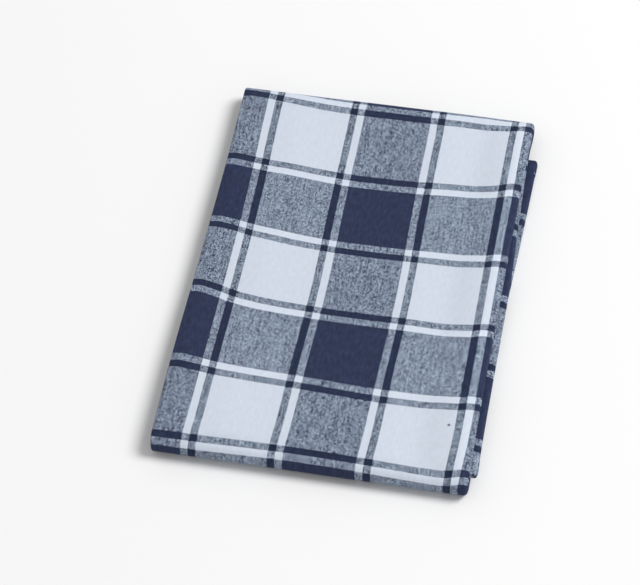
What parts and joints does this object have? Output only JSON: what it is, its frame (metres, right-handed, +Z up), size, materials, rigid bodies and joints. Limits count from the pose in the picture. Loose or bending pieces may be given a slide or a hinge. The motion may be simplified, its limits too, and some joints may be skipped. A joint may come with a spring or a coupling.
{
  "type": "folded tea towel",
  "caption": "Checked cotton tea towel folded into a flat rectangular pile, thirds across its width and then thirds along its length, with both flaps tucked under the front.",
  "frame": {"origin": "on the surface that the towel rests on, under the middle of its box", "axes": "+Z up out of the front panel, +Y along the front's height towards the upper end fold, +X towards the right side fold, where the flaps show"},
  "size_m": [0.1712, 0.2382, 0.0141],
  "materials": {
    "check_cotton": "matt plain-weave cotton with a navy and white check"
  },
  "bodies": {
    "root": {"towel_cloth": "check_cotton"}
  },
  "joints": []
}
